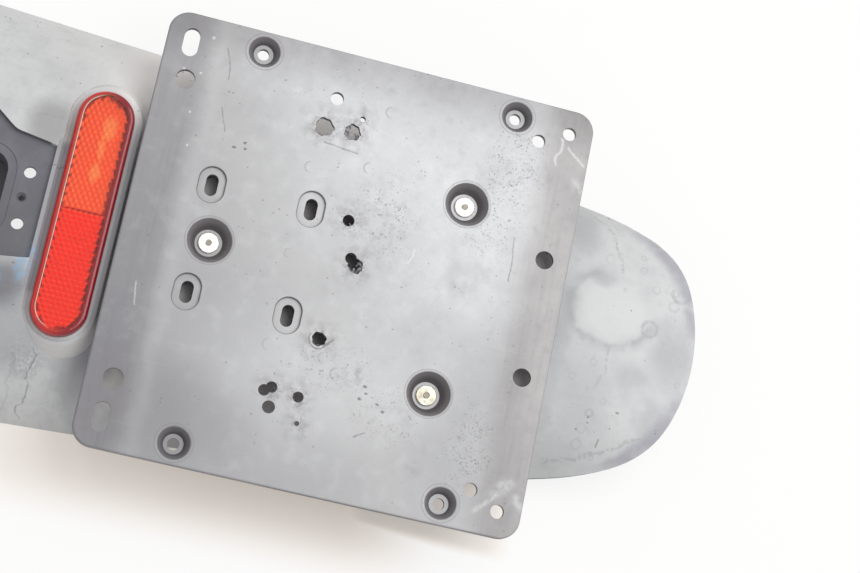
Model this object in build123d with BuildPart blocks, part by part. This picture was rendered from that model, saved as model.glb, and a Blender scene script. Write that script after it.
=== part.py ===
"""Motorcycle rear fender: moulded trough, riveted plate carrier and bolted reflector.

Millimetres. The fender lies on its rims at Z = 0 with its tip towards +X, and the origin is under the
middle of its length.
"""

import os
from math import acos, cos, degrees, pi, radians, sin

from build123d import *

os.makedirs("parts", exist_ok=True)

# Fit of a fastener or an inserted piece in its hole or seat, on the radius
CLEARANCE = 0.15

# Fender trough
FENDER_LENGTH = 498
FENDER_WALL = 3
ROOT_WIDTH = 228
WAIST_WIDTH = 205
TAIL_WIDTH = 164
CROWN_FLAT = 60
CROWN_HEIGHT = 37
LAMP_RISE = 10.5
FALL_STEPS = 10

# Tongue outline in plan, three tangent arcs from the tip to each side
NOSE_RADIUS = 93
NOSE_ANGLE = 25.5
SHOULDER_RADIUS = 47
SHOULDER_ANGLE = 38
FLANK_RADIUS = 133
FLANK_ANGLE = 14

# Holes that hold the fender to the frame, at its root
ROOT_HOLE = 8.5
ROOT_HOLE_INSET = 16
ROOT_SPACING_X = 30
ROOT_SPACING_Y = 50

# Lamp seat, a shallow pocket with a deep well for the lamp's back
SEAT_DEPTH = 3
SEAT_DRAFT = 8
SEAT_LENGTH = 94
SEAT_END_WIDTH = 57.6
SEAT_NECK_LENGTH = 21
SEAT_NECK_WIDTH = 64
SEAT_FLARE_LENGTH = 13
SEAT_WIDTH = 84
SEAT_NECK_ROUND = 9
SEAT_CORNER = 6
SEAT_STEP = 0.5
SEAT_STEP_MARGIN = 4.4
LAMP_WELL_INSET = 20
LAMP_WELL_LENGTH = 52
LAMP_WELL_WIDTH = 40
LAMP_WELL_CORNER = 9
LAMP_WELL_DEPTH = 20
LAMP_HOLE = 6
LAMP_HOLE_INSET = 9.5
LAMP_HOLE_SPACING = 26.4
PILOT_HOLE = 3
PILOT_SINK = 5
PILOT_INSET = 10.7

# Reflector and the pad that it stands on
REFLECTOR_LENGTH = 126
REFLECTOR_WIDTH = 28
REFLECTOR_HEIGHT = 6
REFLECTOR_GAP = 5.2
LENS_WALL = 1.8
LENS_FACE = 2.2
LENS_ROUND = 2
BACK_THICKNESS = 1.6
PAD_RISE = 3.5
PAD_MARGIN = 3.8
PAD_DRAFT = 25
PAD_SKIRT = 20
RIDGE_WIDTH = 2.2
LIP_WIDTH = 1.6
LIP_HEIGHT = 1.2
PAD_CORE_INSET = 1.5

# Reflector fasteners
STUD = 5
STUD_SPACING = 80
STUD_HEAD = 10
STUD_HEAD_HEIGHT = 1.2
STUD_TAIL = 2
STUD_CHAMFER = 0.5
WASHER_DIAMETER = 12
WASHER_THICKNESS = 1
NUT_WIDTH = 8
NUT_HEIGHT = 4.5

# Plate carrier panel
CARRIER_LENGTH = 224
CARRIER_WIDTH = 225
CARRIER_THICKNESS = 3
CARRIER_CORNER = 10.5
CARRIER_SKIRT = 4
SKIRT_WALL = 2.5
EDGE_ROUND = 1
TIP_REACH = 77

# Dished holes at the carrier's corners, for the plate's screws
PLATE_HOLE = 6
PLATE_DISH = 16.5
PLATE_DISH_FLOOR = 10
PLATE_DISH_DEPTH = 5.2
PLATE_SPACING_X = 133.7
PLATE_SHIFT = 4.1
PLATE_SIDE_INSET = 10.8

# Dished rivet holes, one in the middle towards the lamp and two towards the tip
RIVET_DISH = 23
RIVET_DISH_FLOOR = 13.7
RIVET_DISH_DEPTH = 7.3
RIVET_LAMP_X = -68.2
RIVET_TIP_X = 54.3
RIVET_TIP_SPACING = 99.6
DISH_WALL = 2.2
DISH_BASE = 2.7
DISH_ROUND = 1.2
BOSS_RISE = 3

# Oval slots with a counterbore, long side across the fender
SLOT_WIDTH = 6.2
SLOT_LENGTH = 11.2
SLOT_SINK_MARGIN = 3.7
SLOT_SINK_DEPTH = 1.4
SLOT_COLLAR_WALL = 2.4
SLOT_COLLAR_DEPTH = 8
SLOT_SPACING_Y = 55.5
SLOT_LAMP_X = -73.4
SLOT_TIP_X = -22.6

# Slots and plain holes along the carrier's two ends
END_SLOT_WIDTH = 8
END_SLOT_LENGTH = 15
END_SLOT_INSET = 12.4
END_SLOT_SIDE_INSET = 15.5
LAMP_END_HOLE = 10
LAMP_END_INSET = 13.9
LAMP_END_SPACING = 155
TIP_END_HOLE = 9.4
TIP_END_INSET = 12.9
TIP_END_SPACING = 62
PIN_HOLE = 7
INNER_PIN_INSET = 27.6
INNER_PIN_SIDE_INSET = 20.6
OUTER_PIN_INSET = 12.4
OUTER_PIN_SIDE_INSET = 12.9

# Holes drilled later by hand: x and y from the carrier's centre, and diameter
DRILLED = [
    (-21.8, 87.2, 6.8),
    (-6.8, 79.9, 2.9),
    (-3.0, 26.6, 6.0),
    (2.2, 7.9, 5.9),
    (-26.0, -66.6, 5.7),
    (-22.6, -64.4, 5.7),
    (-22.0, -74.3, 6.4),
    (-8.9, -66.3, 5.5),
    (-6.8, -79.2, 2.5),
]

# Holes that tore out: x, y, mean diameter, and where along the edge the tears start, in degrees
TORN = [
    (-25.0, 71.0, 9.6, 20),
    (-10.5, 71.8, 8.4, 95),
    (5.2, 4.6, 7.6, 200),
    (-4.9, -35.7, 7.2, 320),
]
TEAR = 0.05
TEAR_LOBES = 7
TEAR_BULGES = 3
TEAR_POINTS = 21

# Blind rivets
RIVET = 4.8
RIVET_FLANGE = 10.5
RIVET_FLANGE_HEIGHT = 1.4
RIVET_FLANGE_EDGE = 0.9
FLANGE_ROUND = 0.3
RIVET_SOCKET = 3.4
RIVET_SOCKET_DEPTH = 0.9
RIVET_BULB = 8
RIVET_BULB_HEIGHT = 4
MANDREL = 2.6
MANDREL_HEAD = 4.4
MANDREL_HEAD_HEIGHT = 1.8

# Places worked out from the sizes above
tip_x = FENDER_LENGTH / 2
root_x = -FENDER_LENGTH / 2
carrier_x = tip_x - TIP_REACH - CARRIER_LENGTH / 2
carrier_edge = carrier_x - CARRIER_LENGTH / 2
reflector_x = carrier_edge - REFLECTOR_GAP - REFLECTOR_WIDTH / 2
seat_end = reflector_x - REFLECTOR_WIDTH / 2 - PAD_MARGIN - RIDGE_WIDTH
neck_x = seat_end - SEAT_NECK_LENGTH
flare_x = neck_x - SEAT_FLARE_LENGTH
lamp_well_x = seat_end - LAMP_WELL_INSET - LAMP_WELL_LENGTH / 2
lamp_crown = CROWN_HEIGHT + LAMP_RISE
seat_z = lamp_crown - SEAT_DEPTH
lamp_well_z = seat_z - LAMP_WELL_DEPTH
pad_z = CROWN_HEIGHT + PAD_RISE
pad_under = pad_z - FENDER_WALL
boss_z = CROWN_HEIGHT + BOSS_RISE
boss_under = boss_z - FENDER_WALL
dish_z = boss_z + DISH_BASE
face_z = dish_z + RIVET_DISH_DEPTH
boss_radius = RIVET_DISH_FLOOR / 2 + DISH_WALL
headroom = lamp_crown + face_z
through = 2 * FENDER_WALL
overrun = FENDER_WALL
rivets = [
    (carrier_x + RIVET_LAMP_X, 0),
    (carrier_x + RIVET_TIP_X, RIVET_TIP_SPACING / 2),
    (carrier_x + RIVET_TIP_X, -RIVET_TIP_SPACING / 2),
]
studs = [(reflector_x, STUD_SPACING / 2), (reflector_x, -STUD_SPACING / 2)]
carrier_face = Plane((carrier_x, 0, face_z))


def crown(x):
    """Height of the fender's top line: raised at the lamp, falling in an S to the carrier."""
    rise_end = carrier_edge
    t = min(max((x - seat_end) / (rise_end - seat_end), 0), 1)
    return lamp_crown - LAMP_RISE * t * t * (3 - 2 * t)


def rim_half(x):
    """Half the width between the rims at Z = 0."""
    waist, tail = carrier_edge, tip_x - TIP_REACH
    if x < waist:
        return (WAIST_WIDTH + (ROOT_WIDTH - WAIST_WIDTH) * (waist - x) / (waist - root_x)) / 2
    return (WAIST_WIDTH + (TAIL_WIDTH - WAIST_WIDTH) * min((x - waist) / (tail - waist), 1)) / 2


def arch(x, inset=0.0):
    """Cross-section at x: a flat top and two tangent arcs, set in by a wall and cut level below."""
    flat, height = CROWN_FLAT / 2, crown(x)
    outer = ((rim_half(x) - flat) ** 2 + height**2) / (2 * height)
    radius, top = outer - inset, height - inset
    sweep_angle = degrees(acos((outer - height - inset) / radius))
    with BuildSketch(Plane.YZ.offset(x)) as section:
        with BuildLine():
            Line((-flat, top), (flat, top))
            right = JernArc((flat, top), (1, 0), radius, -sweep_angle)
            left = JernArc((-flat, top), (-1, 0), radius, sweep_angle)
            Line(right @ 1, left @ 1)
        make_face()
    return section.sketch


def oblong(z, margin=0.0):
    """The reflector's outline on the level z, widened by a margin."""
    with BuildSketch(Plane.XY.offset(z)) as outline:
        with Locations((reflector_x, 0)):
            SlotOverall(REFLECTOR_LENGTH + 2 * margin, REFLECTOR_WIDTH + 2 * margin, rotation=90)
    return outline.sketch


def lamp_seat(z, margin=0.0):
    """The lamp seat's outline on the level z: a neck beside the reflector that flares out."""
    with BuildSketch(Plane.XY.offset(z)) as outline:
        with BuildLine():
            Polyline(
                (seat_end, 0),
                (seat_end, SEAT_END_WIDTH / 2),
                (neck_x, SEAT_NECK_WIDTH / 2),
                (flare_x, SEAT_WIDTH / 2),
                (seat_end - SEAT_LENGTH, SEAT_WIDTH / 2),
                (seat_end - SEAT_LENGTH, 0),
            )
            mirror(about=Plane.XZ)
        make_face()
        flare, neck = outline.vertices().group_by(Axis.X)[1:3]
        fillet(neck + flare, SEAT_NECK_ROUND)
        fillet(outline.vertices().group_by(Axis.X)[0], SEAT_CORNER)
        if margin:
            offset(amount=margin)
    return outline.sketch


def lamp_well(z, margin=0.0):
    """The lamp well's outline on the level z, widened by a margin."""
    with BuildSketch(Plane.XY.offset(z)) as outline:
        with Locations((lamp_well_x, 0)):
            RectangleRounded(
                LAMP_WELL_LENGTH + 2 * margin,
                LAMP_WELL_WIDTH + 2 * margin,
                LAMP_WELL_CORNER + margin,
            )
    return outline.sketch


def carrier_outline(depth, inset=0.0):
    """The carrier's outline, a depth below its face and narrowed by an inset."""
    with BuildSketch(carrier_face.offset(-depth)) as outline:
        RectangleRounded(
            CARRIER_LENGTH - 2 * inset,
            CARRIER_WIDTH - 2 * inset,
            CARRIER_CORNER - inset,
        )
    return outline.sketch


def torn_hole(x, y, diameter, start):
    """Outline of a hole with a wavy, torn edge."""
    points = []
    for i in range(TEAR_POINTS):
        angle = 2 * pi * i / TEAR_POINTS
        wave = sin(TEAR_LOBES * angle + radians(start)) + cos(TEAR_BULGES * angle + radians(start))
        reach = diameter / 2 * (1 + TEAR * wave)
        points.append((x + reach * cos(angle), y + reach * sin(angle)))
    with BuildSketch(carrier_face) as outline:
        with BuildLine():
            Spline(*points, periodic=True)
        make_face()
    return outline.sketch


# Fender: the sections of the loft stand close together where the top line falls
fall = (carrier_edge - seat_end) / FALL_STEPS
stations = [root_x]
stations += [seat_end + fall * step for step in range(FALL_STEPS + 1)]
stations += [tip_x - TIP_REACH, tip_x + overrun]

# Hollow under the fender, the shape of the mould's core
with BuildPart() as hollow:
    reach_past = [root_x - overrun, *stations[1:-1], tip_x + 2 * overrun]
    loft(sections=[arch(x, FENDER_WALL) for x in reach_past], ruled=True)
    extrude(lamp_seat(seat_z - FENDER_WALL, FENDER_WALL), amount=headroom, mode=Mode.SUBTRACT)
    extrude(lamp_well(lamp_well_z - FENDER_WALL, FENDER_WALL), amount=headroom, mode=Mode.SUBTRACT)
    extrude(oblong(pad_under, PAD_MARGIN + FENDER_WALL), amount=headroom, mode=Mode.SUBTRACT)
    extrude(oblong(0, PAD_MARGIN - PAD_CORE_INSET), amount=pad_under)
    with BuildSketch():
        with Locations(*rivets):
            Circle(boss_radius - FENDER_WALL)
    extrude(amount=boss_under)

with BuildPart() as fender:
    loft(sections=[arch(x) for x in stations], ruled=True)
    with BuildSketch():
        with Locations(*rivets):
            Circle(boss_radius)
    extrude(amount=boss_z)
    extrude(oblong(pad_z, PAD_MARGIN), amount=-PAD_SKIRT, taper=-PAD_DRAFT)
    # Ledge for the reflector, sunk into the rise beside the lamp seat
    extrude(oblong(pad_z, PAD_MARGIN), amount=headroom, mode=Mode.SUBTRACT)
    extrude(oblong(pad_z, CLEARANCE + LIP_WIDTH), amount=LIP_HEIGHT)
    extrude(oblong(pad_z, CLEARANCE), amount=LIP_HEIGHT, mode=Mode.SUBTRACT)
    add(hollow.part, mode=Mode.SUBTRACT)
    # Plan outline of the tongue
    with BuildSketch():
        with BuildLine():
            nose = JernArc((tip_x, 0), (0, 1), NOSE_RADIUS, NOSE_ANGLE)
            shoulder = JernArc(nose @ 1, nose % 1, SHOULDER_RADIUS, SHOULDER_ANGLE)
            flank = JernArc(shoulder @ 1, shoulder % 1, FLANK_RADIUS, FLANK_ANGLE)
            side = Line(flank @ 1, flank @ 1 + (flank % 1) * FENDER_LENGTH)
            Line(side @ 1, ((side @ 1).X, 0))
            mirror(about=Plane.XZ)
        make_face()
    extrude(amount=headroom, mode=Mode.INTERSECT)
    # Lamp seat, its well and holes
    extrude(lamp_seat(seat_z), amount=headroom, taper=-SEAT_DRAFT, mode=Mode.SUBTRACT)
    extrude(lamp_well(seat_z - SEAT_STEP, SEAT_STEP_MARGIN), amount=SEAT_STEP, mode=Mode.SUBTRACT)
    extrude(lamp_well(lamp_well_z), amount=headroom, mode=Mode.SUBTRACT)
    with Locations(Plane.XY.offset(seat_z)):
        with Locations((seat_end - LAMP_HOLE_INSET, 0)):
            with GridLocations(0, LAMP_HOLE_SPACING, 1, 2):
                Hole(LAMP_HOLE / 2, through)
        with Locations((seat_end - PILOT_INSET, 0)):
            CounterSinkHole(PILOT_HOLE / 2, PILOT_SINK / 2, through)
    # Holes at the root, under the rivets and for the reflector's studs
    with Locations((root_x + ROOT_HOLE_INSET + ROOT_SPACING_X / 2, 0, lamp_crown)):
        with GridLocations(ROOT_SPACING_X, ROOT_SPACING_Y, 2, 2):
            Hole(ROOT_HOLE / 2, through)
    with Locations(*[(x, y, boss_z) for x, y in rivets]):
        Hole(RIVET / 2 + CLEARANCE, through)
    with Locations(*[(x, y, pad_z) for x, y in studs]):
        Hole(STUD / 2 + CLEARANCE, through)
fender.part.label = "fender_shell"
export_step(fender.part, "parts/fender_shell.step")

# Plate carrier, drawn from its own centre
plate_holes = GridLocations(PLATE_SPACING_X, CARRIER_WIDTH - 2 * PLATE_SIDE_INSET, 2, 2)
plate_dishes = [(PLATE_SHIFT + spot.position.X, spot.position.Y) for spot in plate_holes]
rivet_dishes = [(x - carrier_x, y) for x, y in rivets]
slots = [(x, side * SLOT_SPACING_Y / 2) for x in (SLOT_LAMP_X, SLOT_TIP_X) for side in (1, -1)]
lamp_edge, tip_edge, side_edge = -CARRIER_LENGTH / 2, CARRIER_LENGTH / 2, CARRIER_WIDTH / 2
pins = [
    (tip_edge - INNER_PIN_INSET, side_edge - INNER_PIN_SIDE_INSET),
    (tip_edge - OUTER_PIN_INSET, side_edge - OUTER_PIN_SIDE_INSET),
]
end_slot = (lamp_edge + END_SLOT_INSET, side_edge - END_SLOT_SIDE_INSET)
down = (Align.CENTER, Align.CENTER, Align.MAX)

with BuildPart(carrier_face) as carrier:
    extrude(carrier_outline(0), amount=-CARRIER_SKIRT)
    fillet(carrier.faces().sort_by(Axis.Z)[-1].edges(), EDGE_ROUND)
    extrude(carrier_outline(CARRIER_THICKNESS, SKIRT_WALL), amount=-CARRIER_SKIRT, mode=Mode.SUBTRACT)
    # Cups behind the dishes and collars behind the oval slots
    for places, top, floor, depth in (
        (plate_dishes, PLATE_DISH, PLATE_DISH_FLOOR, PLATE_DISH_DEPTH),
        (rivet_dishes, RIVET_DISH, RIVET_DISH_FLOOR, RIVET_DISH_DEPTH),
    ):
        flare = (top - floor) / 2 * (depth - CARRIER_THICKNESS / 2) / depth
        with Locations(*[(x, y, -CARRIER_THICKNESS / 2) for x, y in places]):
            Cone(
                floor / 2 + DISH_WALL,
                floor / 2 + DISH_WALL + flare,
                depth - CARRIER_THICKNESS / 2,
                align=down,
            )
        with Locations(*[(x, y, -depth) for x, y in places]):
            Cylinder(floor / 2 + DISH_WALL, DISH_BASE, align=down)
        with Locations(*[(x, y, 0) for x, y in places]):
            Cone(floor / 2, top / 2, depth, align=down, mode=Mode.SUBTRACT)
    dish_rims = carrier.faces().sort_by(Axis.Z)[-1].inner_wires()
    fillet([rim.edge() for rim in dish_rims], DISH_ROUND)
    with BuildSketch(carrier_face.offset(-SLOT_SINK_DEPTH)):
        with Locations(*slots):
            SlotOverall(SLOT_LENGTH + 2 * SLOT_COLLAR_WALL, SLOT_WIDTH + 2 * SLOT_COLLAR_WALL, rotation=90)
    extrude(amount=SLOT_SINK_DEPTH - SLOT_COLLAR_DEPTH)
    with BuildSketch(carrier_face):
        with Locations(*slots):
            SlotOverall(SLOT_LENGTH + 2 * SLOT_SINK_MARGIN, SLOT_WIDTH + 2 * SLOT_SINK_MARGIN, rotation=90)
    extrude(amount=-SLOT_SINK_DEPTH, mode=Mode.SUBTRACT)
    # Through holes
    with BuildSketch(carrier_face):
        with Locations(*plate_dishes):
            Circle(PLATE_HOLE / 2)
        with Locations(*rivet_dishes):
            Circle(RIVET / 2 + CLEARANCE)
        with Locations(*slots):
            SlotOverall(SLOT_LENGTH, SLOT_WIDTH, rotation=90)
        with Locations((lamp_edge + LAMP_END_INSET, 0)):
            with GridLocations(0, LAMP_END_SPACING, 1, 2):
                Circle(LAMP_END_HOLE / 2)
        with Locations((tip_edge - TIP_END_INSET, 0)):
            with GridLocations(0, TIP_END_SPACING, 1, 2):
                Circle(TIP_END_HOLE / 2)
        with Locations(*pins, *[(x, -y) for x, y in pins]):
            Circle(PIN_HOLE / 2)
        for drill_x, drill_y, drill in DRILLED:
            with Locations((drill_x, drill_y)):
                Circle(drill / 2)
        with Locations(end_slot, (end_slot[0], -end_slot[1])):
            SlotOverall(END_SLOT_LENGTH, END_SLOT_WIDTH, rotation=90)
    extrude(amount=-headroom, mode=Mode.SUBTRACT)
    for torn in TORN:
        extrude(torn_hole(*torn), amount=-headroom, mode=Mode.SUBTRACT)
carrier.part.label = "plate_carrier"
export_step(carrier.part, "parts/plate_carrier.step")

# Reflector lens, a cap with a rounded rim that the back closes from below
with BuildPart() as lens:
    extrude(oblong(pad_z), amount=REFLECTOR_HEIGHT)
    fillet(lens.faces().sort_by(Axis.Z)[-1].edges(), LENS_ROUND)
    extrude(oblong(pad_z, -LENS_WALL), amount=REFLECTOR_HEIGHT - LENS_FACE, mode=Mode.SUBTRACT)
lens.part.label = "reflector_lens"
export_step(lens.part, "parts/reflector_lens.step")

with BuildPart() as back:
    extrude(oblong(pad_z, -LENS_WALL - CLEARANCE), amount=BACK_THICKNESS)
    with Locations(*[(x, y, pad_z + BACK_THICKNESS) for x, y in studs]):
        Hole(STUD / 2 + CLEARANCE)
back.part.label = "reflector_back"
export_step(back.part, "parts/reflector_back.step")

# Studs: a flat head inside the reflector, a shank through the back and the fender
head_z = pad_z + BACK_THICKNESS
washer_z = pad_under - WASHER_THICKNESS
nut_z = washer_z - NUT_HEIGHT
with BuildPart() as stud_pair:
    with Locations(*[(x, y, head_z) for x, y in studs]):
        Cylinder(STUD_HEAD / 2, STUD_HEAD_HEIGHT, align=(Align.CENTER, Align.CENTER, Align.MIN))
        Cylinder(STUD / 2, head_z - nut_z + STUD_TAIL, align=down)
    chamfer(stud_pair.faces().group_by(Axis.Z)[0].edges(), STUD_CHAMFER)
stud_pair.part.label = "reflector_studs"
export_step(stud_pair.part, "parts/reflector_studs.step")

with BuildPart() as washers:
    with BuildSketch(Plane.XY.offset(washer_z)):
        with Locations(*studs):
            Circle(WASHER_DIAMETER / 2)
            Circle(STUD / 2 + CLEARANCE, mode=Mode.SUBTRACT)
    extrude(amount=WASHER_THICKNESS)
washers.part.label = "reflector_washers"
export_step(washers.part, "parts/reflector_washers.step")

with BuildPart() as nuts:
    with BuildSketch(Plane.XY.offset(nut_z)):
        with Locations(*studs):
            RegularPolygon(NUT_WIDTH / 2, 6, major_radius=False)
            Circle(STUD / 2 + CLEARANCE, mode=Mode.SUBTRACT)
    extrude(amount=NUT_HEIGHT)
nuts.part.label = "reflector_nuts"
export_step(nuts.part, "parts/reflector_nuts.step")

# Blind rivets: profiles turned about their axis, from the dish floor down through carrier and boss
grip = DISH_BASE + FENDER_WALL
body_r, bore_r = RIVET / 2, MANDREL / 2 + CLEARANCE
socket_z = RIVET_FLANGE_HEIGHT - RIVET_SOCKET_DEPTH
bulb_end = -grip - RIVET_BULB_HEIGHT
stub_end = RIVET_FLANGE_HEIGHT - RIVET_SOCKET_DEPTH / 2
head_end = bulb_end - MANDREL_HEAD_HEIGHT
with BuildPart() as rivet_body:
    with BuildSketch(Plane.XZ):
        with BuildLine():
            Polyline(
                (body_r, -grip),
                (body_r, 0),
                (RIVET_FLANGE / 2, 0),
                (RIVET_FLANGE / 2, RIVET_FLANGE_EDGE),
                (RIVET_FLANGE / 2 - FLANGE_ROUND, RIVET_FLANGE_EDGE + FLANGE_ROUND),
                (RIVET_SOCKET / 2, RIVET_FLANGE_HEIGHT),
                (RIVET_SOCKET / 2, socket_z),
                (bore_r, socket_z),
                (bore_r, bulb_end),
                (body_r, bulb_end),
            )
            ThreePointArc((body_r, bulb_end), (RIVET_BULB / 2, (bulb_end - grip) / 2), (body_r, -grip))
        make_face()
    revolve(axis=Axis.Z)

with BuildPart() as mandrel:
    with BuildSketch(Plane.XZ):
        with BuildLine():
            Polyline(
                (0, head_end),
                (0, stub_end),
                (MANDREL / 2, stub_end),
                (MANDREL / 2, bulb_end),
                (MANDREL_HEAD / 2, bulb_end),
                (MANDREL_HEAD / 2, bulb_end - MANDREL_HEAD_HEIGHT / 2),
                (MANDREL / 2, head_end),
                close=True,
            )
        make_face()
    revolve(axis=Axis.Z)

with BuildPart() as rivet_bodies:
    with Locations(*[(x, y, dish_z) for x, y in rivets]):
        add(rivet_body.part)
rivet_bodies.part.label = "rivet_bodies"
export_step(rivet_bodies.part, "parts/rivet_bodies.step")

with BuildPart() as rivet_mandrels:
    with Locations(*[(x, y, dish_z) for x, y in rivets]):
        add(mandrel.part)
rivet_mandrels.part.label = "rivet_mandrels"
export_step(rivet_mandrels.part, "parts/rivet_mandrels.step")
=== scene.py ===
"""Looks of a used motorcycle rear fender, laid out as an add-on.

Objects are in metres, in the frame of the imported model. Patterns and marks are sized in millimetres.
"""

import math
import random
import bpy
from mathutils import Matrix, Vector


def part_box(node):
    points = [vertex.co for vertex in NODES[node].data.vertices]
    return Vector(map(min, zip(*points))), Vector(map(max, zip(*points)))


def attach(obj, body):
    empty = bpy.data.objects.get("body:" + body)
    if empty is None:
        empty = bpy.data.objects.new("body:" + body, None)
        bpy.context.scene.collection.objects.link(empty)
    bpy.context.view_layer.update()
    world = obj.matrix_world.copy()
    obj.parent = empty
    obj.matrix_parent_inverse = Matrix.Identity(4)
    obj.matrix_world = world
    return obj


bl_info = {
    "name": "Motorcycle rear fender",
    "version": (1, 0, 0),
    "blender": (4, 5, 0),
    "location": "View3D > Sidebar > Fender",
    "description": "Finishes a faded rear fender with its plate carrier, reflector and rivets",
    "category": "Object",
}

import bmesh
import bpy
from bpy.props import FloatProperty, FloatVectorProperty, PointerProperty
from bpy.types import Operator, Panel, PropertyGroup
from mathutils import Matrix, Vector

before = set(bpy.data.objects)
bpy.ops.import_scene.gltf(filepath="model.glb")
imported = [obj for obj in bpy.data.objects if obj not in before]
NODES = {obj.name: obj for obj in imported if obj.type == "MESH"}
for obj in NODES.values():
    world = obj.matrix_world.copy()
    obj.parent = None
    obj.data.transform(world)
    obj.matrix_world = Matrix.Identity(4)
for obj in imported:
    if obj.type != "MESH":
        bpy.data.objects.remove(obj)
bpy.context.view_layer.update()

MM = 0.001


def linear(hex_colour):
    """An sRGB hex colour as linear red, green, blue and alpha."""
    channels = [int(hex_colour[i:i + 2], 16) / 255 for i in (1, 3, 5)]
    bent = [c / 12.92 if c <= 0.04045 else ((c + 0.055) / 1.055) ** 2.4 for c in channels]
    return (*bent, 1.0)


def colour_of(name, description, hex_colour):
    """A colour that a user may change."""
    return FloatVectorProperty(
        name=name, description=description, subtype="COLOR", size=4, min=0, max=1, default=linear(hex_colour)
    )


def number_of(name, description, default, unit="NONE"):
    """A number that a user may change."""
    return FloatProperty(name=name, description=description, default=default, unit=unit)


def box_mm(node):
    """Low and high corner of a node in millimetres."""
    low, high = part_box(node)
    return low / MM, high / MM


CARRIER_LOW, CARRIER_HIGH = box_mm("plate_carrier")
LENS_LOW, LENS_HIGH = box_mm("reflector_lens")
FACE_Z = CARRIER_HIGH.z
LENS_X = (LENS_LOW.x + LENS_HIGH.x) / 2
LENS_RADIUS = LENS_HIGH.x - LENS_X
LENS_STRAIGHT = LENS_HIGH.y - LENS_RADIUS
# Wall of the lens over its prisms, the gaps above and below them, and where along Y their two fields meet
LENS_FACE = 2.2
PRISM_GAP = 0.05
PRISM_FLOOR = 0.1
FIELD_SPLIT_Y = 0.7
# Rim of the lens that prisms are drawn in to, and the wider one that whole prisms keep clear of
LENS_RIM = 2.0
PRISM_RIM = 2.6
# Lamp seat, pad under the reflector and start of the tongue
SEAT_END_X = LENS_LOW.x - 6
SEAT_LEVEL_Z = 46.2
SEAT_HALF = 43.5
PAD_RADIUS = 23
TONGUE_X = CARRIER_HIGH.x
# Distance between dried drops, and the ways in which a puddle's edge and the carrier's lightening run
DROP_PITCH = 9
DAMP_WAY = (0.77, 0.64, 0)
LIGHTENING_WAY = (1.0, 0.75, 0.0)
# Hole of the carrier where the plastic has melted, and the way in which the melted side ends
MELTED_HOLE = (54.9, -35.9)
MELTED_WAY = (1, 1.6, 0)
# Stops along a sliver of torn plastic
SLIVER_STEPS = 4

# Stage in metres
FLOOR_HALF = 4.0
LAMP_SIZE = (1.0, 0.9)
LAMP_PLACE = (0.5, 0.25, 1.15)
LAMP_AIM = (0.05, 0, 0.04)
WHITE = (1, 1, 1, 1)
# Share of its own white that the floor shows, and how much less it shows beside the carrier and close to
# the carrier's corner. Under the small hole of the lamp seat, in full shadow, it shows none
FLOOR_WHITE = 0.82
NEAR_LESS = 0.48
CLOSE_LESS = 0.56
SEAT_HOLE_FLOOR = (-104.6, 10.5)

# Holes of the carrier that show torn plastic: x, y, radius, slivers, their length, where round the hole
# they stand and how far they spread, both in degrees
BURRS = (
    (35.0, 71.0, 4.6, 4, 1.3, -75, 40),
    (49.5, 71.8, 3.9, 9, 2.6, -135, 120),
    (53.2, 79.9, 1.4, 1, 0.6, -110, 20),
    (57.0, 26.6, 2.9, 3, 1.2, -85, 35),
    (65.2, 4.6, 3.5, 8, 2.4, -50, 120),
    (55.1, -35.7, 3.4, 5, 1.0, -85, 60),
    (37.4, -65.0, 3.0, 5, 1.3, -30, 60),
    (51.1, -66.3, 2.6, 6, 0.7, 180, 120),
    (53.2, -79.2, 1.2, 2, 0.6, 200, 60),
)

# Oblong sinks of the carrier's slots: middle. Dishes: middle and radius of the line round them
SLOT_SINKS = tuple((x, y) for x in (-13.4, 37.4) for y in (27.75, -27.75))
SLOT_SINK_RADIUS = 6.8
SLOT_SINK_HALF = 2.5
DISHES = (
    ((-8.2, 0.0), 12.3),
    *(((114.3, y), 12.3) for y in (49.8, -49.8)),
    *(((x, y), 9.6) for x in (-2.75, 130.95) for y in (101.7, -101.7)),
)

# Marks on the carrier. Scratches and smears: points, width. Rings and dots: middle, size
DARK_SCRATCHES = (
    (((-21.4, 98.7), (-19.2, 93.9), (-17.6, 87.8), (-17.4, 82.4)), 0.5),
    (((-17.3, 68.0), (-13.0, 55.7)), 0.6),
    (((36.4, 63.3), (42.7, 62.8), (54.5, 61.5)), 0.7),
    (((141.3, 39.0), (142.9, 25.5), (142.7, 15.4)), 0.6),
    (((81.7, -79.4), (86.7, -76.2)), 0.8),
)
PALE_SCRATCHES = (
    (((92.8, 20.5), (92.2, 16.0), (90.4, 12.0)), 0.8),
    (((155.0, 96.4), (157.1, 93.7), (156.8, 89.7), (154.7, 85.3), (156.0, 81.3)), 1.3),
    (((159.9, 92.3), (164.3, 88.7), (170.2, 84.5)), 1.3),
    (((-38.5, -28.1), (-36.6, -40.4)), 0.5),
)
MOULD_RINGS = (
    ((66.9, 87.0), 2.9),
    ((67.4, -51.0), 3.2),
    ((32.5, 48.9), 2.8),
    ((61.6, 55.7), 2.8),
    ((31.4, 3.1), 2.4),
    ((31.1, -44.0), 2.8),
    ((59.5, -44.4), 2.8),
    ((59.8, -81.9), 3.2),
)
DARK_DOTS = (
    ((-6.9, 49.3), 0.7),
    ((-2.1, 52.7), 0.6),
    ((-1.4, 49.7), 0.6),
    ((82.4, -53.8), 0.8),
    ((83.6, -57.1), 0.6),
    ((80.8, -60.3), 0.7),
    ((90.1, -61.2), 0.6),
    ((93.3, -64.1), 0.7),
)
PALE_DOTS = (
    ((-29.1, 102.1), 0.8),
    ((-31.3, 82.5), 0.7),
    ((-40.1, 82.8), 0.7),
    ((-32.1, 61.4), 0.7),
    ((-29.7, 44.4), 0.6),
)
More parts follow.
